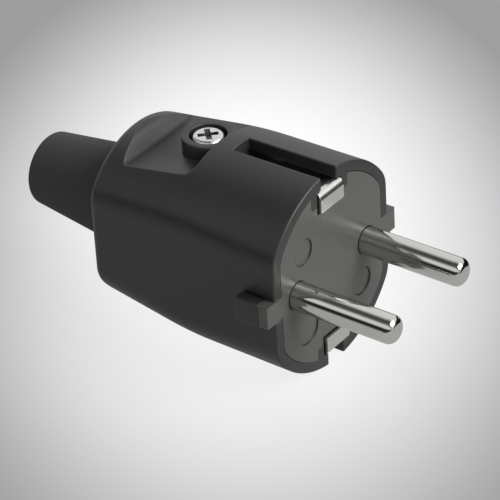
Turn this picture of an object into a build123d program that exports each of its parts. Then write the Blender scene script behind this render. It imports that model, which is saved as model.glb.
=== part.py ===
from build123d import *
from math import atan, tan
import os

# Earthed two-pin plug for a round recessed wall socket, with a screwed hood and a bend sleeve.
# The origin is the centre of the engagement face. +X is the way the pins point, +Z is the side
# of the hood screw, and the pins lie side by side along Y. All sizes are in millimetres, and a
# name that ends in _x is a distance behind the face.

# Contact pins
pin_radius = 2.4
pin_reach = 19.0
pin_spacing = 19.0
pin_tip_radius = 1.4
pin_fit = 0.04
neck_radius = 2.2
neck_stand = 0.1
root_skin = 1.5
root_radius = 2.9
shoulder_radius = 3.3
shoulder_depth = 7.0
lock_groove_radius = 2.6
terminal_length = 5.6
terminal_flat_height = 3.0
wire_bore_radius = 1.6
wire_bore_depth = 4.8

# Hood, seen square to the plug's axis: a round outline with two flat sides
front_radius = 17.9
waist_radius_drop = 0.2
rear_radius_drop = 2.6
waist_width_drop = 0.7
rear_width_drop = 2.2
waist_x = 20.0
waist_blend = 4.0
side_corner_radius = 5.0
hood_wall = 1.75
rear_wall = 2.2
pin_side_gap = 1.05
front_edge_radius = 0.35
rear_edge_radius = 1.8
seam_gap = 0.12

# Earthing slots in the hood, one above and one below
slot_half_width = 2.05
slot_length = 17.2
slot_end_wall = 1.6
slot_step_depth = 2.3
slot_edge_radius = 0.25
tongue_outer_y = 4.7
tongue_depth = 4.65

# Side lugs of the hood and the ears of the carrier in front of them
lug_rise = 2.1
lug_half_height = 2.0
lug_length = 6.3
lug_root = 1.0
lug_edge_radius = 0.25
ear_thickness = 1.7
relief_height = 0.3
relief_depth = 1.2
relief_length = 4.2

# Recess at the top rear of the hood, with the screw tower standing in it
recess_front_x = 20.7
recess_length = 13.5
recess_half_width = 9.3
recess_front_depth = 2.45
recess_rear_depth = 3.0
recess_back_run = 1.9
recess_foot_radius = 0.8
recess_brow_radius = 2.0
recess_brow_lift = 0.03
recess_corner_radius = 2.6
tower_setback = 3.0
tower_radius = 4.35
tower_sink = 0.55
tower_edge_radius = 0.25

# Screws, nuts and the hood screw's captive washer
screw_shank_radius = 1.5
screw_head_radius = 2.7
screw_head_height = 2.2
screw_head_gap = 0.5
screw_head_sink = 0.05
screw_hole_gap = 0.3
head_rounding = 0.35
small_head_radius = 2.3
small_head_height = 1.8
cross_slot_width = 0.95
cross_slot_length = 3.4
cross_slot_depth = 1.2
hood_screw_length = 12.0
captive_washer_radius = 3.1
captive_washer_thickness = 0.8
captive_washer_gap = 0.4
nut_width = 5.5
nut_thickness = 1.8
nut_gap = 0.1
nut_below_top = 2.2
column_half_width = 4.2
column_half_length = 3.1

# Contact carrier
carrier_depth = 14.4
carrier_face = 3.2
carrier_skin = 1.5
chamber_wall = 1.3
web_half_width = 5.1
floor_depth = 10.7
floor_thickness = 1.8
floor_half_width = 10.8
flange_seat_gap = 0.3
cradle_gap = 0.1
cradle_top_gap = 0.2
mark_depth = 0.25
face_marks = [(-7.6, 7.0, 2.35), (-7.2, -7.8, 2.7), (7.7, -6.9, 2.5)]

# Earth strap of bent sheet
strap_thickness = 0.8
strap_half_width = 3.05
strap_side_gap = 0.3
strap_neck_half_width = 1.9
strap_neck_start = 1.6
strap_neck_length = 10.5
strap_neck_radius = 0.7
strap_corner_radius = 0.4
lip_front = 0.6
lip_depth = 6.0
crest_depth = 2.45
crest_run = 0.7
crest_set = 0.3
ramp_length = 5.0
strap_depth = 4.0
strap_bend_radius = 1.3
tab_length = 5.1
tab_half_width = 3.2

# Earth terminal on the strap's tab, and the leaves over the wires in the pins
tab_screw_inset = 2.2
earth_clamp_half_width = 2.7
earth_clamp_thickness = 1.0
clamp_ear_width = 0.6
clamp_ear_gap = 0.1
clamp_hole_gap = 0.15
wire_gap = 1.6
earth_screw_tail = 1.2
guard_thickness = 0.4
guard_half_width = 1.15
guard_height = 0.85
guard_reach = 4.4
guard_gap = 0.1
guard_hook_height = 2.8
terminal_head_gap = 0.3

# Pin retaining plate
plate_thickness = 1.5
plate_half_width = 12.6
plate_bottom = -1.3
plate_top = 7.5
plate_corner_radius = 3.0
plate_gap = 0.1

# Cable clamp
cable_radius = 4.2
clamp_half_length = 2.7
clamp_column_gap = 2.4
clamp_gap = 3.2
clamp_bar_top = 6.2
clamp_screw_y = 7.9
clamp_corner_radius = 1.2
clamp_rib_height = 0.35
clamp_rib_half_width = 0.35

# Bend sleeve of rubber
sleeve_length = 19.4
sleeve_front_radius = 8.6
sleeve_rear_radius = 6.3
sleeve_bore_radius = 4.4
sleeve_mouth_radius = 6.4
sleeve_edge_radius = 0.9
sleeve_bore_length = 14.0
sleeve_fit = 0.1
flange_gap = 0.3
flange_thickness = 1.9

# How deep a joined form reaches into its neighbour, and a length past any part of the plug
root = 0.5
beyond = 60.0

parts = {}


# Places along the plug that several pieces share
recess_rear_x = recess_front_x + recess_length
tower_x = recess_front_x + tower_setback
clamp_x = tower_x + column_half_length + clamp_column_gap + clamp_half_length
floor_end = clamp_x + clamp_half_length
flange_front = floor_end + flange_seat_gap
cover_end = flange_front + flange_thickness
hood_length = cover_end + rear_wall
sleeve_end = hood_length + sleeve_length
bay_start = carrier_depth + strap_thickness
plate_end = bay_start + plate_thickness
terminal_start = plate_end + plate_gap
terminal_end = terminal_start + terminal_length
terminal_screw_x = terminal_start + terminal_length / 2
earth_screw_x = bay_start + tab_length - tab_screw_inset
sides = (-1, 1)

# Widths that the pins set
pin_y = pin_spacing / 2
front_half_width = pin_y + shoulder_radius + pin_side_gap + hood_wall
lug_reach = front_half_width + lug_rise

# Heights that hang on the front outline
floor_height = floor_depth - front_radius
strap_crest = front_radius - crest_depth
strap_level = front_radius - strap_depth
lip_bottom = front_radius - lip_depth
tongue_bottom = front_radius - tongue_depth
slot_step_height = front_radius - slot_step_depth
tower_top = front_radius - tower_sink

# Distances from the axis at the face, at the waist and at the hood's rear end
radii = (front_radius, front_radius - waist_radius_drop, front_radius - rear_radius_drop)
half_widths = (front_half_width, front_half_width - waist_width_drop, front_half_width - rear_width_drop)


def taper(x, distances):
    """Distance from the axis at a place behind the face, on two straight tapers that meet at the waist."""
    front, waist, rear = distances
    if x < waist_x:
        return front + (waist - front) * x / waist_x
    return waist + (rear - waist) * (x - waist_x) / (hood_length - waist_x)


def body_radius(x):
    return taper(x, radii)


# The recess floor falls towards the rear
recess_front_floor = body_radius(recess_front_x) - recess_front_depth
recess_rear_floor = body_radius(recess_rear_x) - recess_rear_depth


def recess_floor(x):
    slope = (recess_front_floor - recess_rear_floor) / recess_length
    return recess_front_floor - slope * (x - recess_front_x)


# Heights that several pieces share
flange_radius = recess_floor(cover_end) - hood_wall - flange_gap
screw_head_top = tower_top - screw_head_sink
screw_seat = screw_head_top - screw_head_height
tower_underside = recess_floor(tower_x) - hood_wall
captive_washer_bottom = tower_underside - captive_washer_thickness
column_top = captive_washer_bottom - nut_gap
nut_bottom = column_top - nut_below_top - nut_thickness
floor_bottom = floor_height - floor_thickness
earth_clamp_bottom = strap_thickness / 2 + wire_gap
earth_screw_seat = earth_clamp_bottom + earth_clamp_thickness
hole_radius = screw_shank_radius + screw_hole_gap
tapped_radius = screw_shank_radius + pin_fit


def taper_face(distances, inset):
    """Half of the plug's outline seen from the side, with a soft bend at the waist."""
    front, waist, rear = distances
    turn = atan((waist - rear) / (hood_length - waist_x)) - atan((front - waist) / waist_x)
    outline = Polyline(
        (0, 0),
        (0, front - inset),
        (-waist_x, waist - inset),
        (-hood_length, rear - inset),
        (-hood_length, 0),
        close=True,
    )
    bend = outline.vertices().sort_by_distance((-waist_x, waist - inset, 0))[0]
    return fillet(make_face(outline).vertices().sort_by_distance(bend)[0], waist_blend / tan(turn / 2))


def body_form(start, end, inset):
    """A solid that follows the plug's outline: a tapered round with two tapered flat sides."""
    turned = revolve(Plane.XZ * taper_face(radii, inset), axis=Axis.X)
    half = extrude(taper_face(half_widths, inset), amount=front_radius, both=True)
    form = turned & (half + mirror(half, about=Plane.XZ))
    corners = [edge for edge in form.edges() if runs_along(edge)]
    form = fillet(corners, side_corner_radius - inset / 2)
    return form & block((-end, -start), (-beyond, beyond), (-beyond, beyond))


def runs_along(edge):
    """Whether an edge runs along the plug away from the axis, like the corners of its outline."""
    return abs((edge @ 0).X - (edge @ 1).X) > root and abs((edge @ 0.5).Z) > root


def block(x, y, z):
    """A box from its limits along each axis, with x counted forwards from the face."""
    centre = ((x[0] + x[1]) / 2, (y[0] + y[1]) / 2, (z[0] + z[1]) / 2)
    return Pos(*centre) * Box(abs(x[1] - x[0]), abs(y[1] - y[0]), abs(z[1] - z[0]))


def around(middle, half):
    return (middle - half, middle + half)


def rod(radius, start, end, y=0, z=0):
    """A cylinder along X between two places, with x counted forwards from the face."""
    return Pos((start + end) / 2, y, z) * Rot(0, 90, 0) * Cylinder(radius, abs(end - start))


def post(radius, x, y, bottom, top):
    """A cylinder along Z."""
    return Pos(x, y, (bottom + top) / 2) * Cylinder(radius, top - bottom)


def above_and_below(shape):
    return shape + mirror(shape, about=Plane.XY)


def last_ring(shape, axis):
    """The circular edge that lies furthest along an axis."""
    return shape.edges().filter_by(GeomType.CIRCLE).sort_by(axis)[-1]


def cross_recess(x, y, top):
    """The screwdriver cross in a screw's head."""
    bars = Box(cross_slot_length, cross_slot_width, cross_slot_depth)
    bars += Box(cross_slot_width, cross_slot_length, cross_slot_depth)
    return Pos(x, y, top - cross_slot_depth / 2) * Rot(0, 0, 45) * bars


def machine_screw(x, y, seat, length, head_radius, head_height):
    """A screw with a rounded head above its seat and a plain shank below it."""
    head = post(head_radius, x, y, seat, seat + head_height)
    head = fillet(last_ring(head, Axis.Z), head_rounding * head_height)
    screw = head + post(screw_shank_radius, x, y, seat - length, seat)
    return screw - cross_recess(x, y, seat + head_height)


def square_nut(x, y, bottom):
    nut = Pos(x, y, bottom + nut_thickness / 2) * Box(nut_width, nut_width, nut_thickness)
    return nut - post(screw_shank_radius, x, y, bottom - root, bottom + nut_thickness + root)


def recess_cutter():
    """Floor near parallel to the hood's back, a soft rear wall and rounded corners in plan."""
    above = front_radius + root
    brow_x = recess_rear_x + recess_back_run
    side = Polyline(
        (-recess_front_x, recess_front_floor),
        (-recess_rear_x, recess_rear_floor),
        (-brow_x, body_radius(brow_x) + recess_brow_lift),
        (-hood_length, body_radius(hood_length) + recess_brow_lift),
        (-hood_length, above),
        (-recess_front_x, above),
        close=True,
    )
    face = make_face(side)
    foot = face.vertices().sort_by_distance((-recess_rear_x, recess_rear_floor, 0))[0]
    face = fillet(foot, recess_foot_radius)
    brow = face.vertices().sort_by_distance((-brow_x, body_radius(brow_x) + recess_brow_lift, 0))[0]
    face = fillet(brow, recess_brow_radius)
    prism = extrude(Plane.XZ * face, amount=recess_half_width, both=True)
    plan_length = hood_length - recess_front_x
    plan = RectangleRounded(plan_length, 2 * recess_half_width, recess_corner_radius)
    plan_x = -recess_front_x - plan_length / 2
    return prism & extrude(Pos(plan_x, 0, 0) * plan, amount=beyond)


def recess_backing():
    """The space over the hood's inner ceiling, which follows the recess floor a wall below it."""
    front = recess_front_x - hood_wall
    rear = cover_end + root
    side = Polyline(
        (-front, recess_floor(front) - hood_wall),
        (-rear, recess_floor(rear) - hood_wall),
        (-rear, front_radius),
        (-front, front_radius),
        close=True,
    )
    return extrude(Plane.XZ * make_face(side), amount=front_radius, both=True)


def slot_tongues(gap):
    """Block round an earthing slot that reaches in from the hood towards the carrier."""
    length = slot_length + slot_end_wall + gap
    half_width = tongue_outer_y + gap
    return block((-length, root), (-half_width, half_width), (tongue_bottom - gap, front_radius))


def on_slot_rim(edge):
    """Whether an edge bounds the narrow outer part of an earthing slot."""
    middle = edge @ 0.5
    beside = abs(abs(middle.Y) - slot_half_width) < seam_gap and middle.X > -slot_length - seam_gap
    behind = abs(middle.X + slot_length) < seam_gap and abs(middle.Y) < slot_half_width
    return abs(middle.Z) > slot_step_height + root and (beside or behind)


def side_lugs(front, rear, half_height, inner):
    """A pair of blocks on the flat sides, from the inner distance out to the lugs' reach."""
    lugs = block((-rear, -front), (-lug_reach, lug_reach), (-half_height, half_height))
    outer = lugs.faces().sort_by(Axis.Y)[0].edges() + lugs.faces().sort_by(Axis.Y)[-1].edges()
    lugs = fillet([edge for edge in outer if not touches_ear_gap(edge)], lug_edge_radius)
    return lugs - block((-beyond, beyond), (-inner, inner), (-beyond, beyond))


def touches_ear_gap(edge):
    """Whether an edge of a lug or ear lies where the two meet."""
    return abs((edge @ 0).X + ear_thickness) < seam_gap and abs((edge @ 1).X + ear_thickness) < seam_gap


def lug_reliefs():
    """Narrow grooves in the flat sides along the upper and lower edges of the lugs."""
    inner = front_half_width - relief_depth
    outer_z = lug_half_height + relief_height
    x = (-ear_thickness - relief_length, -ear_thickness)
    grooves = block(x, (-beyond, beyond), (lug_half_height, outer_z))
    return above_and_below(grooves - block((-beyond, beyond), (-inner, inner), (-beyond, beyond)))


def hood():
    shell = body_form(0, hood_length, 0)
    rear_edges = shell.faces().sort_by(Axis.X)[0].edges()
    shell = fillet(rear_edges, rear_edge_radius)
    front_edges = shell.faces().sort_by(Axis.X)[-1].edges()
    shell = fillet(front_edges, front_edge_radius)
    cavity = body_form(0, cover_end, hood_wall)
    cavity -= recess_backing()
    cavity -= above_and_below(slot_tongues(0))
    shell -= cavity
    shell += side_lugs(ear_thickness, lug_length, lug_half_height, front_half_width - lug_root)
    ear_room = lug_half_height + seam_gap
    shell -= block((-ear_thickness - seam_gap, root), (-beyond, beyond), (-ear_room, ear_room))
    shell -= lug_reliefs()
    slot = block((-slot_length, root), (-slot_half_width, slot_half_width), (0, beyond))
    inner_half = strap_half_width + strap_side_gap
    slot += block((-slot_length, root), (-inner_half, inner_half), (0, slot_step_height))
    shell -= above_and_below(slot)
    shell = fillet([edge for edge in shell.edges() if on_slot_rim(edge)], slot_edge_radius)
    shell -= recess_cutter()
    tower = post(tower_radius, -tower_x, 0, recess_floor(tower_x) - root, tower_top)
    shell += fillet(last_ring(tower, Axis.Z), tower_edge_radius)
    washer_room = captive_washer_radius + captive_washer_gap
    shell -= post(washer_room, -tower_x, 0, captive_washer_bottom, tower_underside)
    shell -= post(screw_head_radius + screw_head_gap, -tower_x, 0, screw_seat, beyond)
    shell -= post(hole_radius, -tower_x, 0, 0, tower_top)
    return shell - rod(sleeve_front_radius + sleeve_fit, -cover_end + root, -beyond)


def contact_carrier():
    """Front block with its pin holes and side channels, and the floor that runs back from it."""
    inset = hood_wall + seam_gap
    carrier = body_form(0, carrier_depth, inset)
    core = body_form(carrier_face, carrier_depth, inset + carrier_skin)
    core -= block((-beyond, 0), (-web_half_width, web_half_width), (-beyond, beyond))
    for side in sides:
        core -= rod(shoulder_radius + chamber_wall, 0, -carrier_depth, side * pin_y)
    carrier -= core
    ear_inner = front_half_width - hood_wall - lug_root
    carrier += side_lugs(0, ear_thickness, lug_half_height, ear_inner)
    carrier += carrier_floor()
    for side in sides:
        y = side * pin_y
        carrier -= rod(pin_radius + pin_fit, root, -carrier_depth, y)
        carrier -= rod(root_radius + pin_fit, -root_skin, -carrier_depth, y)
        carrier -= rod(shoulder_radius + pin_fit, -shoulder_depth, -carrier_depth - root, y)
    carrier -= above_and_below(slot_tongues(seam_gap))
    channel_y = strap_half_width + strap_side_gap
    channel_floor = strap_level - strap_thickness
    channel = block((-beyond, root), (-channel_y, channel_y), (channel_floor, front_radius))
    lip_floor = lip_bottom - strap_side_gap
    channel += block((-ramp_length, root), (-channel_y, channel_y), (lip_floor, front_radius))
    carrier -= above_and_below(channel)
    for y, z, radius in face_marks:
        carrier -= rod(radius, -mark_depth, root, y, z)
    return carrier


def carrier_floor():
    """Rear part of the carrier: floor, terminal cradles, nut column and cable saddle."""
    half_width = (-floor_half_width, floor_half_width)
    floor = block((-floor_end, -carrier_depth + root), half_width, (floor_bottom, floor_height))
    seat_radius = shoulder_radius + cradle_gap
    for side in sides:
        y = side * pin_y
        cradle = rod(seat_radius + chamber_wall, -terminal_start, -terminal_end, y)
        leg = (floor_height - root, 0)
        cradle += block((-terminal_end, -terminal_start), around(y, chamber_wall), leg)
        cradle -= rod(seat_radius, 0, -beyond, y)
        below = (-beyond, plate_bottom - cradle_top_gap)
        floor += cradle & block((-beyond, 0), (-beyond, beyond), below)
    column_x = around(-tower_x, column_half_length)
    column_y = (-column_half_width, column_half_width)
    floor += block(column_x, column_y, (floor_bottom, column_top))
    saddle_x = around(-clamp_x, clamp_half_length)
    floor += block(saddle_x, half_width, (floor_bottom, -clamp_gap / 2))
    floor -= rod(cable_radius, saddle_x[0] - root, saddle_x[1] + root)
    floor += cable_rib() & block(saddle_x, half_width, (floor_bottom, -clamp_gap / 2))
    floor -= post(hole_radius, -tower_x, 0, floor_height, beyond)
    pocket_half = nut_width / 2 + nut_gap
    pocket_z = (nut_bottom - nut_gap, nut_bottom + nut_thickness + nut_gap)
    pocket_x = (-beyond, -tower_x + pocket_half)
    pocket = block(pocket_x, (-pocket_half, pocket_half), pocket_z)
    floor -= pocket & block((column_x[0] - root, 0), (-beyond, beyond), (-beyond, beyond))
    for side in sides:
        y = side * clamp_screw_y
        floor -= post(hole_radius, -clamp_x, y, floor_bottom - root, 0)
        nut_z = (floor_bottom - root, floor_bottom + nut_thickness + nut_gap)
        floor -= block(around(-clamp_x, pocket_half), around(y, pocket_half), nut_z)
    strap_y = strap_half_width + strap_side_gap
    floor -= block((-bay_start - nut_gap, -carrier_depth), (-strap_y, strap_y), (-beyond, 0))
    return floor & body_form(carrier_depth - root, floor_end, hood_wall + 2 * seam_gap)


def cable_rib():
    """Ridge round the cable's seat that bites into its sheath."""
    ring = rod(cable_radius + root, *around(-clamp_x, clamp_rib_half_width))
    return ring - rod(cable_radius - clamp_rib_height, *around(-clamp_x, clamp_half_length))


def contact_pin(side):
    """Turned pin with a neck in the face, a shoulder, a lock groove and a screw terminal."""
    y = side * pin_y
    pin = rod(pin_radius, neck_stand, pin_reach, y)
    pin = fillet(last_ring(pin, Axis.X), pin_tip_radius)
    pin += rod(neck_radius, -root_skin, neck_stand, y)
    pin += rod(root_radius, -shoulder_depth, -root_skin, y)
    pin += rod(shoulder_radius, -bay_start + plate_gap, -shoulder_depth, y)
    pin += rod(lock_groove_radius, -terminal_start, -shoulder_depth, y)
    terminal = rod(shoulder_radius, -terminal_end, -terminal_start, y)
    flat_x = (-terminal_end - root, -terminal_start + root)
    terminal -= block(flat_x, around(y, shoulder_radius), (terminal_flat_height, beyond))
    pin += terminal
    pin -= rod(wire_bore_radius, -beyond, -terminal_end + wire_bore_depth, y)
    return pin - post(tapped_radius, -terminal_screw_x, y, 0, beyond)


def terminal_screw(side):
    """Short screw that presses the guard leaf down on the wire."""
    seat = terminal_flat_height + terminal_head_gap
    length = seat - guard_height
    head = (small_head_radius, small_head_height)
    return machine_screw(-terminal_screw_x, side * pin_y, seat, length, *head)


def wire_guard(side):
    """Thin leaf between the terminal screw and the wire, hooked over the terminal's rear end."""
    rear = -terminal_end - guard_gap
    width = around(side * pin_y, guard_half_width)
    bottom = guard_height - guard_thickness
    leaf = block((rear - guard_thickness, -terminal_end + guard_reach), width, (bottom, guard_height))
    return leaf + block((rear - guard_thickness, rear), width, (bottom, guard_hook_height))


def earth_strap():
    """One strip of sheet: a lip, a springy ramp and a level arm above and below, joined by a bridge."""
    t = strap_thickness
    ramp_end = crest_run + ramp_length
    outline = Polyline(
        (lip_front, lip_bottom),
        (lip_front, strap_crest),
        (-crest_run, strap_crest),
        (-ramp_end, strap_level),
        (-bay_start, strap_level),
        (-bay_start, 0),
        (-bay_start + t, 0),
        (-bay_start + t, strap_level - t),
        (-ramp_end, strap_level - t),
        (-crest_run - crest_set, strap_crest - t),
        (lip_front - t, strap_crest - t),
        (lip_front - t, lip_bottom),
        close=True,
    )
    profile = make_face(outline)
    top_corner = profile.vertices().sort_by(Axis.X)[-2:].sort_by(Axis.Y)[-1]
    rear_corner = profile.vertices().sort_by(Axis.X)[:2].sort_by(Axis.Y)[-1]
    profile = fillet([top_corner, rear_corner], strap_bend_radius)
    arm = extrude(Plane.XZ * profile, amount=strap_half_width, both=True)
    strap = above_and_below(arm) & extrude(strap_plan(), amount=front_radius, both=True)
    tab_x = (-bay_start - tab_length, -bay_start + t / 2)
    strap += block(tab_x, (-tab_half_width, tab_half_width), (-t / 2, t / 2))
    return strap - post(tapped_radius, -earth_screw_x, 0, -t, t)


def strap_plan():
    """The strap seen from above: a wide head, a narrow neck with rounded notches, a wide rear end."""
    notch_x = -strap_neck_start - strap_neck_length / 2
    plan = block_plan((-bay_start, lip_front), strap_half_width)
    for side in sides:
        notch_y = side * (strap_neck_half_width + strap_half_width)
        notch = RectangleRounded(strap_neck_length, 2 * strap_half_width, strap_neck_radius)
        plan -= Pos(notch_x, notch_y, 0) * notch
    heads = plan.vertices().sort_by_distance((-strap_neck_start, 0, 0))
    heads = [corner for corner in heads if abs(abs(corner.Y) - strap_half_width) < pin_fit]
    return fillet(heads[:2], strap_corner_radius)


def block_plan(x, half_width):
    return Pos((x[0] + x[1]) / 2, 0, 0) * Rectangle(x[1] - x[0], 2 * half_width)


def earth_clamp():
    """Washer with two turned-down ears that keep the wire under the earth screw."""
    half = earth_clamp_half_width
    span_x = around(-earth_screw_x, half - clamp_ear_width)
    bottom = earth_clamp_bottom
    clamp = block(span_x, (-half, half), (bottom, earth_screw_seat))
    for side in sides:
        ear = (side * (half - clamp_ear_width), side * half)
        clamp += block(span_x, ear, (strap_thickness / 2 + clamp_ear_gap, bottom))
    return clamp - post(screw_shank_radius + clamp_hole_gap, -earth_screw_x, 0, 0, beyond)


def earth_screw():
    length = earth_screw_seat + strap_thickness / 2 + earth_screw_tail
    head = (small_head_radius, small_head_height)
    return machine_screw(-earth_screw_x, 0, earth_screw_seat, length, *head)


def pin_retainer():
    """Comb-shaped plate that drops into the grooves of both pins and holds the earth strap."""
    width = (-plate_half_width, plate_half_width)
    plate = block((-plate_end, -bay_start), width, (plate_bottom, plate_top))
    corners = plate.edges().filter_by(Axis.X).sort_by(Axis.Z)[-2:]
    plate = fillet(corners, plate_corner_radius)
    groove_radius = lock_groove_radius + pin_fit
    for side in sides:
        y = side * pin_y
        plate -= rod(groove_radius, 0, -beyond, y)
        plate -= block((-beyond, 0), around(y, groove_radius), (-beyond, 0))
    window_half = tab_half_width + plate_gap
    window_top = earth_screw_seat + small_head_height + plate_gap
    return plate - block((-beyond, 0), (-window_half, window_half), (-beyond, window_top))


def clamp_bar():
    """Upper half of the cable clamp, arched over the cable."""
    span = around(-clamp_x, clamp_half_length)
    width = (-floor_half_width, floor_half_width)
    height = (clamp_gap / 2, clamp_bar_top)
    bar = block(span, width, height)
    bar = fillet(bar.edges().filter_by(Axis.X).sort_by(Axis.Z)[-2:], clamp_corner_radius)
    bar -= rod(cable_radius, span[0] - root, span[1] + root)
    bar += cable_rib() & block(span, width, height)
    for side in sides:
        bar -= post(hole_radius, -clamp_x, side * clamp_screw_y, 0, beyond)
    return bar


def clamp_screw(side):
    length = clamp_bar_top - floor_bottom
    head = (screw_head_radius, small_head_height)
    return machine_screw(-clamp_x, side * clamp_screw_y, clamp_bar_top, length, *head)


def clamp_nut(side):
    return square_nut(-clamp_x, side * clamp_screw_y, floor_bottom)


def hood_screw():
    head = (screw_head_radius, screw_head_height)
    return machine_screw(-tower_x, 0, screw_seat, hood_screw_length, *head)


def captive_washer():
    """Washer under the tower that keeps the hood screw from falling out."""
    washer = post(captive_washer_radius, -tower_x, 0, captive_washer_bottom, tower_underside)
    return washer - post(tapped_radius, -tower_x, 0, 0, beyond)


def hood_nut():
    return square_nut(-tower_x, 0, nut_bottom)


def bend_sleeve():
    """Tapered rubber tube behind the hood, held by a flange inside the hood's rear wall."""
    profile = Polyline(
        (-flange_front, sleeve_mouth_radius),
        (-flange_front, flange_radius),
        (-cover_end, flange_radius),
        (-cover_end, sleeve_front_radius),
        (-hood_length, sleeve_front_radius),
        (-sleeve_end, sleeve_rear_radius),
        (-sleeve_end, sleeve_bore_radius),
        (-sleeve_end + sleeve_bore_length, sleeve_bore_radius),
        close=True,
    )
    face = make_face(profile)
    rim = face.vertices().sort_by(Axis.X)[:2].sort_by(Axis.Y)[-1]
    face = fillet(rim, sleeve_edge_radius)
    return revolve(Plane.XZ * face, axis=Axis.X)


def make_all():
    parts["hood"] = hood()
    parts["contact_carrier"] = contact_carrier()
    for name, side in (("left", -1), ("right", 1)):
        parts["contact_pin_" + name] = contact_pin(side)
        parts["terminal_screw_" + name] = terminal_screw(side)
        parts["wire_guard_" + name] = wire_guard(side)
        parts["clamp_screw_" + name] = clamp_screw(side)
        parts["clamp_nut_" + name] = clamp_nut(side)
    parts["earth_strap"] = earth_strap()
    parts["earth_clamp"] = earth_clamp()
    parts["earth_screw"] = earth_screw()
    parts["pin_retainer"] = pin_retainer()
    parts["clamp_bar"] = clamp_bar()
    parts["hood_screw"] = hood_screw()
    parts["captive_washer"] = captive_washer()
    parts["hood_nut"] = hood_nut()
    parts["bend_sleeve"] = bend_sleeve()


make_all()
os.makedirs("parts", exist_ok=True)
for name, shape in parts.items():
    export_step(shape, "parts/" + name + ".step")
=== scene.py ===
import math

import bmesh
import bpy
from mathutils import Matrix, Vector


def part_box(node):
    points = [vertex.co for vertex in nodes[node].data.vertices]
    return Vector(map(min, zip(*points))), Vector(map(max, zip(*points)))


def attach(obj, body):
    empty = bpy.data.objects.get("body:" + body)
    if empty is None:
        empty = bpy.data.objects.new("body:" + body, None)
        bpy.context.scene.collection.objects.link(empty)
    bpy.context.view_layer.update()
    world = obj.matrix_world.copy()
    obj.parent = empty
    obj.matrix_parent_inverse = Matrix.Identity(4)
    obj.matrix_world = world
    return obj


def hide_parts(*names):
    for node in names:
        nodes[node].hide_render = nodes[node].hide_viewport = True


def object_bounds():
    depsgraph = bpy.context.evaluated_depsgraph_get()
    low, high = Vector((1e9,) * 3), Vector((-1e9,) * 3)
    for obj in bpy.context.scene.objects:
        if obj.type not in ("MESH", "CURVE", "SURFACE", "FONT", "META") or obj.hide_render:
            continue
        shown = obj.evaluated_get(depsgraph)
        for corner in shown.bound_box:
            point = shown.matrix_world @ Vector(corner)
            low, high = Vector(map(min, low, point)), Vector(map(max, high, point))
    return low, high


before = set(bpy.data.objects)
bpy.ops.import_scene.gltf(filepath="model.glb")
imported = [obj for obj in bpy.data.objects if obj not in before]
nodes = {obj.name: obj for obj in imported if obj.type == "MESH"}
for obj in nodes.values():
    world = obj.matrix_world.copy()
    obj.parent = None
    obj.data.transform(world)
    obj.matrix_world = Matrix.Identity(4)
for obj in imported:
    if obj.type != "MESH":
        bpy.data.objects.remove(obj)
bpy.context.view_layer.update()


# CAMERA. It stands in front of the pins, to their left and above them, and looks down on the plug
# with a long lens, as the photograph does. The picture's right and top are given as directions.
picture_right = Vector((0.80328057, 0.59342845, -0.0508232))
picture_up = Vector((-0.28878374, 0.46268876, 0.83816649))
picture_back = picture_right.cross(picture_up)
camera_place = (0.249064, -0.335854, 0.274502)
camera_lens = 225.7424
camera_sensor = 36
nearest_seen = 0.05
farthest_seen = 20
camera_turn = Matrix((picture_right, picture_up, picture_back)).transposed().to_4x4()
camera = bpy.data.objects.new("photo_camera", bpy.data.cameras.new("photo_camera"))
bpy.context.collection.objects.link(camera)
camera.matrix_world = Matrix.Translation(camera_place) @ camera_turn
camera.data.lens = camera_lens
camera.data.sensor_width = camera_sensor
camera.data.clip_start = nearest_seen
camera.data.clip_end = farthest_seen
bpy.context.scene.camera = camera


# CONTACT CARRIER. The insulating block behind the engagement face, with the floor, cradles and
# cable saddle that run back from it. It is pressed from filled thermoset, paler and glossier than
# the hood, with faint flow marks from the mould. Its edges carry dark lines of painted shade, as
# in the shadow of a seam.
def add_node(tree, kind, values=None, **settings):
    """Adds a node, sets its properties, and sets or links its inputs by name."""
    node = tree.nodes.new(kind)
    for name, value in settings.items():
        setattr(node, name, value)
    for name, value in (values or {}).items():
        if isinstance(value, bpy.types.NodeSocket):
            tree.links.new(value, node.inputs[name])
        else:
            node.inputs[name].default_value = value
    return node


def node_group(name, inputs, outputs):
    """An empty shader group with its named sockets, and its input and output nodes."""
    tree = bpy.data.node_groups.new(name, "ShaderNodeTree")
    for label, value in inputs.items():
        kind = "NodeSocketColor" if isinstance(value, tuple) else "NodeSocketFloat"
        socket = tree.interface.new_socket(label, in_out="INPUT", socket_type=kind)
        socket.default_value = value
    for label, kind in outputs.items():
        tree.interface.new_socket(label, in_out="OUTPUT", socket_type="NodeSocket" + kind)
    return tree, tree.nodes.new("NodeGroupInput"), tree.nodes.new("NodeGroupOutput")


def tinted(tree, colour, shade):
    """The colour made lighter or darker by a factor that varies over the surface."""
    scaled = add_node(tree, "ShaderNodeVectorMath", operation="SCALE")
    tree.links.new(colour, scaled.inputs[0])
    tree.links.new(shade, scaled.inputs["Scale"])
    return scaled.outputs[0]


def spread(tree, mask, middle, width):
    """A value that swings about its middle by a width, as the mask goes from 0 to 1."""
    low = add_node(tree, "ShaderNodeMath", operation="SUBTRACT")
    tree.links.new(mask, low.inputs[0])
    low.inputs[1].default_value = 0.5
    swing = add_node(tree, "ShaderNodeMath", operation="MULTIPLY_ADD")
    tree.links.new(low.outputs[0], swing.inputs[0])
    tree.links.new(width, swing.inputs[1])
    if isinstance(middle, bpy.types.NodeSocket):
        tree.links.new(middle, swing.inputs[2])
    else:
        swing.inputs[2].default_value = middle
    return swing.outputs[0]


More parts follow.
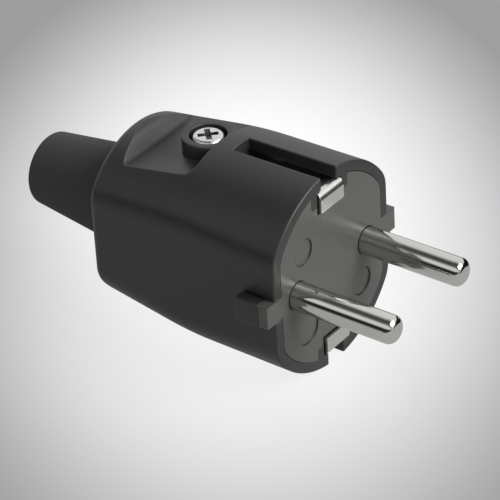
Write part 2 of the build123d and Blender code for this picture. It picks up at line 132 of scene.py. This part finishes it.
# The edge mask is the gain times how far the Bevel node's rounded normal turns from the true one,
# so that it is full close to a sharp edge.
edge_samples = 6
edge_gain = 10.0
moulded_inputs = {
    "Colour": (0.05, 0.05, 0.05, 1.0),
    "Tone Spread": 0.2,
    "Roughness": 0.4,
    "Roughness Spread": 0.1,
    "Flow Scale": 110.0,
    "Grain Scale": 4000.0,
    "Grain Depth": 0.000004,
    "Edge Radius": 0.0002,
    "Painted Edge Shading": 0.0,
}
moulded_skin, given, result = node_group(
    "moulded_skin", moulded_inputs, {"Colour": "Color", "Roughness": "Float", "Normal": "Vector"}
)
place = add_node(moulded_skin, "ShaderNodeTexCoord").outputs["Object"]
flow = add_node(
    moulded_skin,
    "ShaderNodeTexNoise",
    {"Vector": place, "Scale": given.outputs["Flow Scale"], "Detail": 3.0, "Distortion": 0.6},
)
grain = add_node(
    moulded_skin,
    "ShaderNodeTexNoise",
    {"Vector": place, "Scale": given.outputs["Grain Scale"], "Detail": 2.0},
)
soft_edge = add_node(
    moulded_skin,
    "ShaderNodeBevel",
    {"Radius": given.outputs["Edge Radius"]},
    samples=edge_samples,
)
flat = add_node(moulded_skin, "ShaderNodeNewGeometry").outputs["Normal"]
turned = add_node(moulded_skin, "ShaderNodeVectorMath", operation="DOT_PRODUCT")
moulded_skin.links.new(soft_edge.outputs[0], turned.inputs[0])
moulded_skin.links.new(flat, turned.inputs[1])
edge = add_node(moulded_skin, "ShaderNodeMath", operation="MULTIPLY_ADD", use_clamp=True)
moulded_skin.links.new(turned.outputs["Value"], edge.inputs[0])
edge.inputs[1].default_value = -edge_gain
edge.inputs[2].default_value = edge_gain
streaks = spread(moulded_skin, flow.outputs[0], 1.0, given.outputs["Tone Spread"])
# The edge input paints light or shade into the colour along every edge: a painted highlight where
# it is above 0, painted shade where it is below 0.
shade = add_node(moulded_skin, "ShaderNodeMath", operation="MULTIPLY_ADD")
moulded_skin.links.new(edge.outputs[0], shade.inputs[0])
moulded_skin.links.new(given.outputs["Painted Edge Shading"], shade.inputs[1])
moulded_skin.links.new(streaks, shade.inputs[2])
skin = tinted(moulded_skin, given.outputs["Colour"], shade.outputs[0])
moulded_skin.links.new(skin, result.inputs["Colour"])
uneven = spread(
    moulded_skin, flow.outputs[0], given.outputs["Roughness"], given.outputs["Roughness Spread"]
)
moulded_skin.links.new(uneven, result.inputs["Roughness"])
relief = add_node(
    moulded_skin,
    "ShaderNodeBump",
    {
        "Height": grain.outputs[0],
        "Distance": given.outputs["Grain Depth"],
        "Normal": soft_edge.outputs[0],
    },
)
moulded_skin.links.new(relief.outputs[0], result.inputs["Normal"])


def surface(name, group, values, constants):
    """A material with colour, roughness and normal from a group, and the rest from constants."""
    material = bpy.data.materials.new(name)
    material.use_nodes = True
    tree = material.node_tree
    shader = tree.nodes["Principled BSDF"]
    skin = add_node(tree, "ShaderNodeGroup", node_tree=group)
    for label, value in values.items():
        skin.inputs[label].default_value = value
    tree.links.new(skin.outputs["Colour"], shader.inputs["Base Color"])
    tree.links.new(skin.outputs["Roughness"], shader.inputs["Roughness"])
    tree.links.new(skin.outputs["Normal"], shader.inputs["Normal"])
    for label, value in constants.items():
        shader.inputs[label].default_value = value
    return material


def dress(material, *names):
    """Gives CAD nodes a finish."""
    for name in names:
        nodes[name].data.materials.clear()
        nodes[name].data.materials.append(material)


thermoset = surface(
    "carrier_thermoset",
    moulded_skin,
    {
        "Colour": (0.067, 0.066, 0.0605, 1.0),
        "Tone Spread": 0.16,
        "Roughness": 0.28,
        "Roughness Spread": 0.04,
        "Grain Scale": 5200.0,
        "Grain Depth": 0.000003,
        "Edge Radius": 0.0002,
        # Painted shade: dark lines along all of the carrier's edges.
        "Painted Edge Shading": -0.85,
    },
    {"IOR": 1.5},
)
dress(thermoset, "contact_carrier", "pin_retainer", "clamp_bar")


# CONTACT PINS. Two brass pins, turned and then nickel-plated and polished bright, that stand in
# the carrier's holes. The lathe leaves faint rings round them, and the plating is a little warm.
recess_samples = 8
plated_inputs = {
    "Colour": (0.7, 0.69, 0.66, 1.0),
    "Tone Spread": 0.1,
    "Roughness": 0.15,
    "Roughness Spread": 0.1,
    "Cloud Scale": 300.0,
    "Line Scale": 9000.0,
    "Line Depth": 0.0000006,
    "Edge Radius": 0.0001,
    "Painted Recess Shade": 0.0,
    "Recess Width": 0.001,
}
plated_metal, given, result = node_group(
    "plated_metal", plated_inputs, {"Colour": "Color", "Roughness": "Float", "Normal": "Vector"}
)
place = add_node(plated_metal, "ShaderNodeTexCoord").outputs["Object"]
along = add_node(plated_metal, "ShaderNodeSeparateXYZ", {"Vector": place}).outputs["X"]
clouds = add_node(
    plated_metal,
    "ShaderNodeTexNoise",
    {"Vector": place, "Scale": given.outputs["Cloud Scale"], "Detail": 4.0},
)
lines = add_node(
    plated_metal,
    "ShaderNodeTexNoise",
    {"W": along, "Scale": given.outputs["Line Scale"], "Detail": 2.0},
    noise_dimensions="1D",
)
# Painted shade: where the occlusion mask finds a recess, the colour is darkened, by as much as the
# recess input asks.
recess = add_node(
    plated_metal,
    "ShaderNodeAmbientOcclusion",
    {"Distance": given.outputs["Recess Width"]},
    samples=recess_samples,
    only_local=True,
)
unshaded_share = add_node(plated_metal, "ShaderNodeMath", operation="SUBTRACT")
unshaded_share.inputs[0].default_value = 1.0
plated_metal.links.new(given.outputs["Painted Recess Shade"], unshaded_share.inputs[1])
recess_shade = add_node(plated_metal, "ShaderNodeMath", operation="MULTIPLY_ADD")
plated_metal.links.new(recess.outputs["AO"], recess_shade.inputs[0])
plated_metal.links.new(given.outputs["Painted Recess Shade"], recess_shade.inputs[1])
plated_metal.links.new(unshaded_share.outputs[0], recess_shade.inputs[2])
cloudy = spread(plated_metal, clouds.outputs[0], 1.0, given.outputs["Tone Spread"])
shade = add_node(plated_metal, "ShaderNodeMath", operation="MULTIPLY")
plated_metal.links.new(cloudy, shade.inputs[0])
plated_metal.links.new(recess_shade.outputs[0], shade.inputs[1])
metal = tinted(plated_metal, given.outputs["Colour"], shade.outputs[0])
plated_metal.links.new(metal, result.inputs["Colour"])
uneven = spread(
    plated_metal, clouds.outputs[0], given.outputs["Roughness"], given.outputs["Roughness Spread"]
)
plated_metal.links.new(uneven, result.inputs["Roughness"])
soft_edge = add_node(
    plated_metal,
    "ShaderNodeBevel",
    {"Radius": given.outputs["Edge Radius"]},
    samples=edge_samples,
)
relief = add_node(
    plated_metal,
    "ShaderNodeBump",
    {
        "Height": lines.outputs[0],
        "Distance": given.outputs["Line Depth"],
        "Normal": soft_edge.outputs[0],
    },
)
plated_metal.links.new(relief.outputs[0], result.inputs["Normal"])

nickel = surface(
    "polished_nickel",
    plated_metal,
    {
        "Colour": (0.68, 0.67, 0.64, 1.0),
        "Tone Spread": 0.06,
        "Roughness": 0.105,
        "Roughness Spread": 0.05,
    },
    {"Metallic": 1.0},
)
dress(nickel, "contact_pin_left", "contact_pin_right")


# SCREWS. Pan-head machine screws of zinc-plated steel with a cross recess. The head keeps the CAD
# node's shape, and the shank below it gets its real rolled thread. The zinc is dull and spotty,
# with painted shade darkening the recess. Nuts and wire guards have the same finish.
zinc = surface(
    "zinc_plate",
    plated_metal,
    {
        "Colour": (0.72, 0.73, 0.74, 1.0),
        "Tone Spread": 0.5,
        "Roughness": 0.3,
        "Roughness Spread": 0.3,
        "Cloud Scale": 1400.0,
        "Line Scale": 2500.0,
        "Line Depth": 0.000002,
        "Edge Radius": 0.00015,
        # Painted shade: dark in the cross recess and the other hollows of the zinc parts.
        "Painted Recess Shade": 0.9,
        "Recess Width": 0.0012,
    },
    {"Metallic": 1.0},
)
thread_pitch = 0.0005
thread_depth = 0.00027
screw_radius = 0.0015
thread_steps = 20
ridge_sides = 4
core_sides = 32
weld_distance = 0.000001
rim_tolerance = 0.00001
head_overlap = 0.00002

screw_thread = bpy.data.node_groups.new("screw_thread", "GeometryNodeTree")
screw_thread.interface.new_socket("Head", in_out="INPUT", socket_type="NodeSocketGeometry")
for label in ("Core Radius", "Ridge Height", "Pitch", "Length"):
    screw_thread.interface.new_socket(label, in_out="INPUT", socket_type="NodeSocketFloat")
screw_thread.interface.new_socket("Tip", in_out="INPUT", socket_type="NodeSocketVector")
screw_thread.interface.new_socket("Finish", in_out="INPUT", socket_type="NodeSocketMaterial")
screw_thread.interface.new_socket("Screw", in_out="OUTPUT", socket_type="NodeSocketGeometry")
given = screw_thread.nodes.new("NodeGroupInput")
result = screw_thread.nodes.new("NodeGroupOutput")
turns = add_node(screw_thread, "ShaderNodeMath", operation="DIVIDE")
screw_thread.links.new(given.outputs["Length"], turns.inputs[0])
screw_thread.links.new(given.outputs["Pitch"], turns.inputs[1])
helix = add_node(
    screw_thread,
    "GeometryNodeCurveSpiral",
    {
        "Resolution": thread_steps,
        "Rotations": turns.outputs[0],
        "Start Radius": given.outputs["Core Radius"],
        "End Radius": given.outputs["Core Radius"],
        "Height": given.outputs["Length"],
    },
)
ridge = add_node(
    screw_thread,
    "GeometryNodeCurvePrimitiveCircle",
    {"Resolution": ridge_sides, "Radius": given.outputs["Ridge Height"]},
)
wound = add_node(
    screw_thread,
    "GeometryNodeCurveToMesh",
    {"Curve": helix.outputs[0], "Profile Curve": ridge.outputs[0], "Fill Caps": True},
)
core = add_node(
    screw_thread,
    "GeometryNodeMeshCylinder",
    {
        "Vertices": core_sides,
        "Radius": given.outputs["Core Radius"],
        "Depth": given.outputs["Length"],
    },
)
half_length = add_node(screw_thread, "ShaderNodeMath", operation="MULTIPLY")
screw_thread.links.new(given.outputs["Length"], half_length.inputs[0])
half_length.inputs[1].default_value = 0.5
lift = add_node(screw_thread, "ShaderNodeCombineXYZ", {"Z": half_length.outputs[0]})
raised = add_node(
    screw_thread,
    "GeometryNodeTransform",
    {"Geometry": core.outputs[0], "Translation": lift.outputs[0]},
)
shank = screw_thread.nodes.new("GeometryNodeJoinGeometry")
screw_thread.links.new(wound.outputs[0], shank.inputs[0])
screw_thread.links.new(raised.outputs[0], shank.inputs[0])
placed = add_node(
    screw_thread,
    "GeometryNodeTransform",
    {"Geometry": shank.outputs[0], "Translation": given.outputs["Tip"]},
)
whole = screw_thread.nodes.new("GeometryNodeJoinGeometry")
screw_thread.links.new(given.outputs["Head"], whole.inputs[0])
screw_thread.links.new(placed.outputs[0], whole.inputs[0])
real = add_node(screw_thread, "GeometryNodeRealizeInstances", {"Geometry": whole.outputs[0]})
finished = add_node(
    screw_thread,
    "GeometryNodeSetMaterial",
    {"Geometry": real.outputs[0], "Material": given.outputs["Finish"]},
)
screw_thread.links.new(finished.outputs[0], result.inputs[0])


def merged_copy(name):
    """A copy of a CAD node's mesh with its loose triangles joined into a closed skin."""
    mesh = bmesh.new()
    mesh.from_mesh(nodes[name].data)
    bmesh.ops.remove_doubles(mesh, verts=mesh.verts, dist=weld_distance)
    return mesh


def threaded_screw(name):
    """The CAD screw's head on a shank with a real thread, in the CAD screw's own place."""
    low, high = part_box(name)
    head = merged_copy(name)
    rim_x = max(vert.co.x for vert in head.verts) - rim_tolerance
    seat = min(vert.co.z for vert in head.verts if vert.co.x > rim_x)
    everything = head.verts[:] + head.edges[:] + head.faces[:]
    cut = bmesh.ops.bisect_plane(
        head,
        geom=everything,
        plane_co=(0, 0, seat + head_overlap),
        plane_no=(0, 0, -1),
        clear_outer=True,
    )
    cut_edges = [item for item in cut["geom_cut"] if isinstance(item, bmesh.types.BMEdge)]
    bmesh.ops.holes_fill(head, edges=cut_edges, sides=0)
    mesh = bpy.data.meshes.new(name + "_threaded")
    head.to_mesh(mesh)
    head.free()
    piece = bpy.data.objects.new(name + "_threaded", mesh)
    bpy.context.collection.objects.link(piece)
    centre = (low + high) / 2
    sizes = {
        "Core Radius": screw_radius - thread_depth,
        "Ridge Height": thread_depth,
        "Pitch": thread_pitch,
        "Length": seat - low.z,
        "Tip": (centre.x, centre.y, low.z),
        "Finish": zinc,
    }
    modifier = piece.modifiers.new("thread", "NODES")
    modifier.node_group = screw_thread
    for item in screw_thread.interface.items_tree:
        if item.in_out == "INPUT" and item.name in sizes:
            modifier[item.identifier] = sizes[item.name]
    evaluated = piece.evaluated_get(bpy.context.evaluated_depsgraph_get())
    finished_mesh = bpy.data.meshes.new_from_object(evaluated)
    piece.modifiers.clear()
    piece.data = finished_mesh
    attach(piece, "root")
    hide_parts(name)


screws = [
    "terminal_screw_left",
    "terminal_screw_right",
    "clamp_screw_left",
    "clamp_screw_right",
    "earth_screw",
    "hood_screw",
]
for screw in screws:
    threaded_screw(screw)
dress(zinc, "clamp_nut_left", "clamp_nut_right", "hood_nut", "wire_guard_left", "wire_guard_right")


# EARTH STRAP. One strip of brass sheet, bent to a springy contact above and below, with the clamp
# washer of its terminal. It is nickel-plated and duller than the pins, with fine rolling lines.
rolled = surface(
    "rolled_nickel_sheet",
    plated_metal,
    {
        "Colour": (0.76, 0.75, 0.72, 1.0),
        "Tone Spread": 0.08,
        "Roughness": 0.24,
        "Roughness Spread": 0.06,
        "Cloud Scale": 400.0,
        "Line Scale": 4000.0,
    },
    {"Metallic": 1.0},
)
dress(rolled, "earth_strap", "earth_clamp")


# CAPTIVE WASHER. A disc punched from red vulcanised fibre, which keeps the hood screw in the tower
# while the plug is open. Its skin is matt, with the cloudy look of pressed fibre.
fibre = surface(
    "vulcanised_fibre",
    moulded_skin,
    {
        "Colour": (0.33, 0.1, 0.06, 1.0),
        "Tone Spread": 0.4,
        "Roughness": 0.7,
        "Flow Scale": 900.0,
        "Grain Scale": 6000.0,
    },
    {},
)
dress(fibre, "captive_washer")


# BEND SLEEVE. A tapered tube of soft rubber that keeps the cord from kinking. Its flange sits
# inside the hood's rear wall, which holds it. The rubber is matt and slightly uneven in tone.
rubber = surface(
    "sleeve_rubber",
    moulded_skin,
    {
        "Colour": (0.05, 0.05, 0.05, 1.0),
        "Tone Spread": 0.2,
        "Roughness": 0.78,
        "Roughness Spread": 0.08,
        "Flow Scale": 70.0,
        "Grain Scale": 6500.0,
        "Grain Depth": 0.000006,
        "Edge Radius": 0.0003,
    },
    {"IOR": 1.5, "Specular IOR Level": 0.3},
)
dress(rubber, "bend_sleeve")


# HOOD. The outer shell, moulded from black thermoplastic in one piece with its screw tower, side
# lugs and earthing slots. It is satin with a fine grain, and a painted highlight makes its edges a
# little paler.
shell = surface(
    "hood_plastic",
    moulded_skin,
    {
        "Colour": (0.0225, 0.0225, 0.022, 1.0),
        "Tone Spread": 0.2,
        "Roughness": 0.42,
        "Roughness Spread": 0.1,
        "Flow Scale": 60.0,
        "Grain Scale": 4500.0,
        "Grain Depth": 0.000004,
        "Edge Radius": 0.00025,
        # Painted highlight: pale lines along all of the hood's edges.
        "Painted Edge Shading": 2.5,
    },
    {"IOR": 1.5},
)
dress(shell, "hood")


# FLOOR. Pale paper with an oval pool of painted light that darkens outwards. The camera sees it
# mostly as glow, so that it is pale without more light on the plug, and a small lit share holds
# the soft shadow. Mirrored and bounced rays meet one even tone instead.
floor_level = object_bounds()[0].z
floor_reach = 3.0
pool_centre = (-0.0345, 0.0225, floor_level)
pool_reach = (0.107, 0.058, 1.0)
pool_turn = math.radians(-51.7)
# Painted light: the pool's levels, from its bright middle to its darker rim.
pool_light_levels = [(0.0, 0.92), (0.3, 0.92), (0.65, 0.64), (1.0, 0.23)]
even_tone = 0.9
mirrored_glow = 0.39
shadow_share = 0.15
bounce_share = 0.7
floor_mesh = bpy.data.meshes.new("floor")
corners = [(-1, -1), (1, -1), (1, 1), (-1, 1)]
floor_corners = [(x * floor_reach, y * floor_reach, floor_level) for x, y in corners]
floor_mesh.from_pydata(floor_corners, [], [(0, 1, 2, 3)])
floor = bpy.data.objects.new("floor", floor_mesh)
bpy.context.collection.objects.link(floor)
paper = bpy.data.materials.new("floor_paper")
paper.use_nodes = True
tree = paper.node_tree
shader = tree.nodes["Principled BSDF"]
place = add_node(tree, "ShaderNodeTexCoord").outputs["Object"]
pool = add_node(
    tree,
    "ShaderNodeMapping",
    {
        "Vector": place,
        "Location": pool_centre,
        "Rotation": (0, 0, pool_turn),
        "Scale": pool_reach,
    },
    vector_type="TEXTURE",
)
radius = add_node(tree, "ShaderNodeVectorMath", {"Vector": pool.outputs[0]}, operation="LENGTH")
falloff = add_node(tree, "ShaderNodeValToRGB", {"Fac": radius.outputs["Value"]})
falloff.color_ramp.interpolation = "B_SPLINE"


def grey(level):
    """A neutral colour of one level."""
    return (level, level, level, 1.0)


def set_levels(ramp, levels):
    """Gives a colour ramp its grey levels, of which the first takes the ramp's own stop at 0."""
    ramp.elements.remove(ramp.elements[1])
    ramp.elements[0].color = grey(levels[0][1])
    for at, level in levels[1:]:
        ramp.elements.new(at).color = grey(level)


set_levels(falloff.color_ramp, pool_light_levels)
# A Mix node's colour sockets: its colours at a factor of 0 and of 1, and what it puts out
mix_clear = 6
mix_full = 7
mix_result = 2
rays = add_node(tree, "ShaderNodeLightPath").outputs
mirrored = add_node(tree, "ShaderNodeMath", operation="ADD", use_clamp=True)
tree.links.new(rays["Is Glossy Ray"], mirrored.inputs[0])
tree.links.new(rays["Is Transmission Ray"], mirrored.inputs[1])
seen = add_node(tree, "ShaderNodeMath", operation="ADD", use_clamp=True)
tree.links.new(rays["Is Camera Ray"], seen.inputs[0])
tree.links.new(mirrored.outputs[0], seen.inputs[1])
glow = add_node(tree, "ShaderNodeMath", operation="MULTIPLY_ADD")
tree.links.new(mirrored.outputs[0], glow.inputs[0])
glow.inputs[1].default_value = mirrored_glow
tree.links.new(rays["Is Camera Ray"], glow.inputs[2])
tone = add_node(tree, "ShaderNodeMix", data_type="RGBA")
tree.links.new(rays["Is Camera Ray"], tone.inputs[0])
tone.inputs[mix_clear].default_value = grey(even_tone)
tree.links.new(falloff.outputs[0], tone.inputs[mix_full])
lit_share = add_node(tree, "ShaderNodeMath", operation="MULTIPLY_ADD")
tree.links.new(seen.outputs[0], lit_share.inputs[0])
lit_share.inputs[1].default_value = shadow_share - bounce_share
lit_share.inputs[2].default_value = bounce_share
lit_tone = add_node(
    tree,
    "ShaderNodeVectorMath",
    {"Vector": tone.outputs[mix_result], "Scale": lit_share.outputs[0]},
    operation="SCALE",
)
tree.links.new(lit_tone.outputs[0], shader.inputs["Base Color"])
tree.links.new(tone.outputs[mix_result], shader.inputs["Emission Color"])
tree.links.new(glow.outputs[0], shader.inputs["Emission Strength"])
shader.inputs["Roughness"].default_value = 0.9
shader.inputs["Specular IOR Level"].default_value = 0.0
floor.data.materials.append(paper)


# LIGHT. A studio with a long softbox on each side of the plug, a dark gap overhead, and a dark
# room above the floor on the camera's left. The levels go by degrees round the plug's length, up
# from that side. A soft lamp in front lights the face.
backdrop_tone = 0.62
front_lamp_place = (0.65, 0.15, 0.5)
front_lamp_size = 0.5
front_lamp_watts = 8.0
world = bpy.data.worlds.new("studio")
bpy.context.scene.world = world
world.use_nodes = True
tree = world.node_tree
background = tree.nodes["Background"]
direction = add_node(tree, "ShaderNodeTexCoord").outputs["Generated"]
split = add_node(tree, "ShaderNodeSeparateXYZ", {"Vector": direction})
leftwards = add_node(tree, "ShaderNodeMath", operation="MULTIPLY")
tree.links.new(split.outputs["Y"], leftwards.inputs[0])
leftwards.inputs[1].default_value = -1.0
angle = add_node(tree, "ShaderNodeMath", operation="ARCTAN2")
tree.links.new(split.outputs["Z"], angle.inputs[0])
tree.links.new(leftwards.outputs[0], angle.inputs[1])
part_turn = add_node(tree, "ShaderNodeMath", operation="DIVIDE")
tree.links.new(angle.outputs[0], part_turn.inputs[0])
part_turn.inputs[1].default_value = math.pi
bands = add_node(tree, "ShaderNodeValToRGB", {"Fac": part_turn.outputs[0]})
light_levels = [
    (0, 0.12),
    (6, 0.06),
    (12, 0.02),
    (20, 0.012),
    (26, 0.07),
    (34, 0.78),
    (50, 0.84),
    (62, 0.22),
    (70, 0.08),
    (90, 0.08),
    (108, 0.7),
    (116, 0.85),
    (180, 0.85),
]
set_levels(bands.color_ramp, [(degrees / 180, level) for degrees, level in light_levels])
seen = add_node(tree, "ShaderNodeLightPath").outputs["Is Camera Ray"]
backdrop = add_node(tree, "ShaderNodeMix", data_type="RGBA")
tree.links.new(seen, backdrop.inputs[0])
tree.links.new(bands.outputs[0], backdrop.inputs[mix_clear])
backdrop.inputs[mix_full].default_value = grey(backdrop_tone)
tree.links.new(backdrop.outputs[mix_result], background.inputs["Color"])
background.inputs["Strength"].default_value = 1.0
lamp = bpy.data.objects.new("front_lamp", bpy.data.lights.new("front_lamp", "AREA"))
bpy.context.collection.objects.link(lamp)
lamp.location = front_lamp_place
lamp.rotation_euler = (-Vector(front_lamp_place)).to_track_quat("-Z", "Y").to_euler()
lamp.data.size = front_lamp_size
lamp.data.energy = front_lamp_watts


# BLACK CARD. A sheet of black card that leans away beyond the pins, with its lower edge just off
# the floor. Only mirrored rays meet it, and it draws the dark crescents on the pins' tips.
card_half_width = 0.09
card_near = 0.066
card_far = 0.19
card_rise = 0.09
card_lift = 0.0005
card_tone = 0.01
outwards = Vector((0.5, 0.866, 0))
sideways = Vector((-0.866, 0.5, 0))
ground = Vector((0, 0, floor_level + card_lift))
near_edge = outwards * card_near + ground
far_edge = outwards * card_far + ground + Vector((0, 0, card_rise))
aside = sideways * card_half_width
card_corners = [near_edge - aside, near_edge + aside, far_edge + aside, far_edge - aside]
card_mesh = bpy.data.meshes.new("black_card")
card_mesh.from_pydata(card_corners, [], [(0, 1, 2, 3)])
card = bpy.data.objects.new("black_card", card_mesh)
bpy.context.collection.objects.link(card)
black = bpy.data.materials.new("black_card")
black.use_nodes = True
shader = black.node_tree.nodes["Principled BSDF"]
shader.inputs["Base Color"].default_value = grey(card_tone)
shader.inputs["Specular IOR Level"].default_value = 0.0
card_mesh.materials.append(black)
card.visible_camera = False
card.visible_diffuse = False
card.visible_shadow = False

bpy.context.scene.view_settings.view_transform = "Standard"
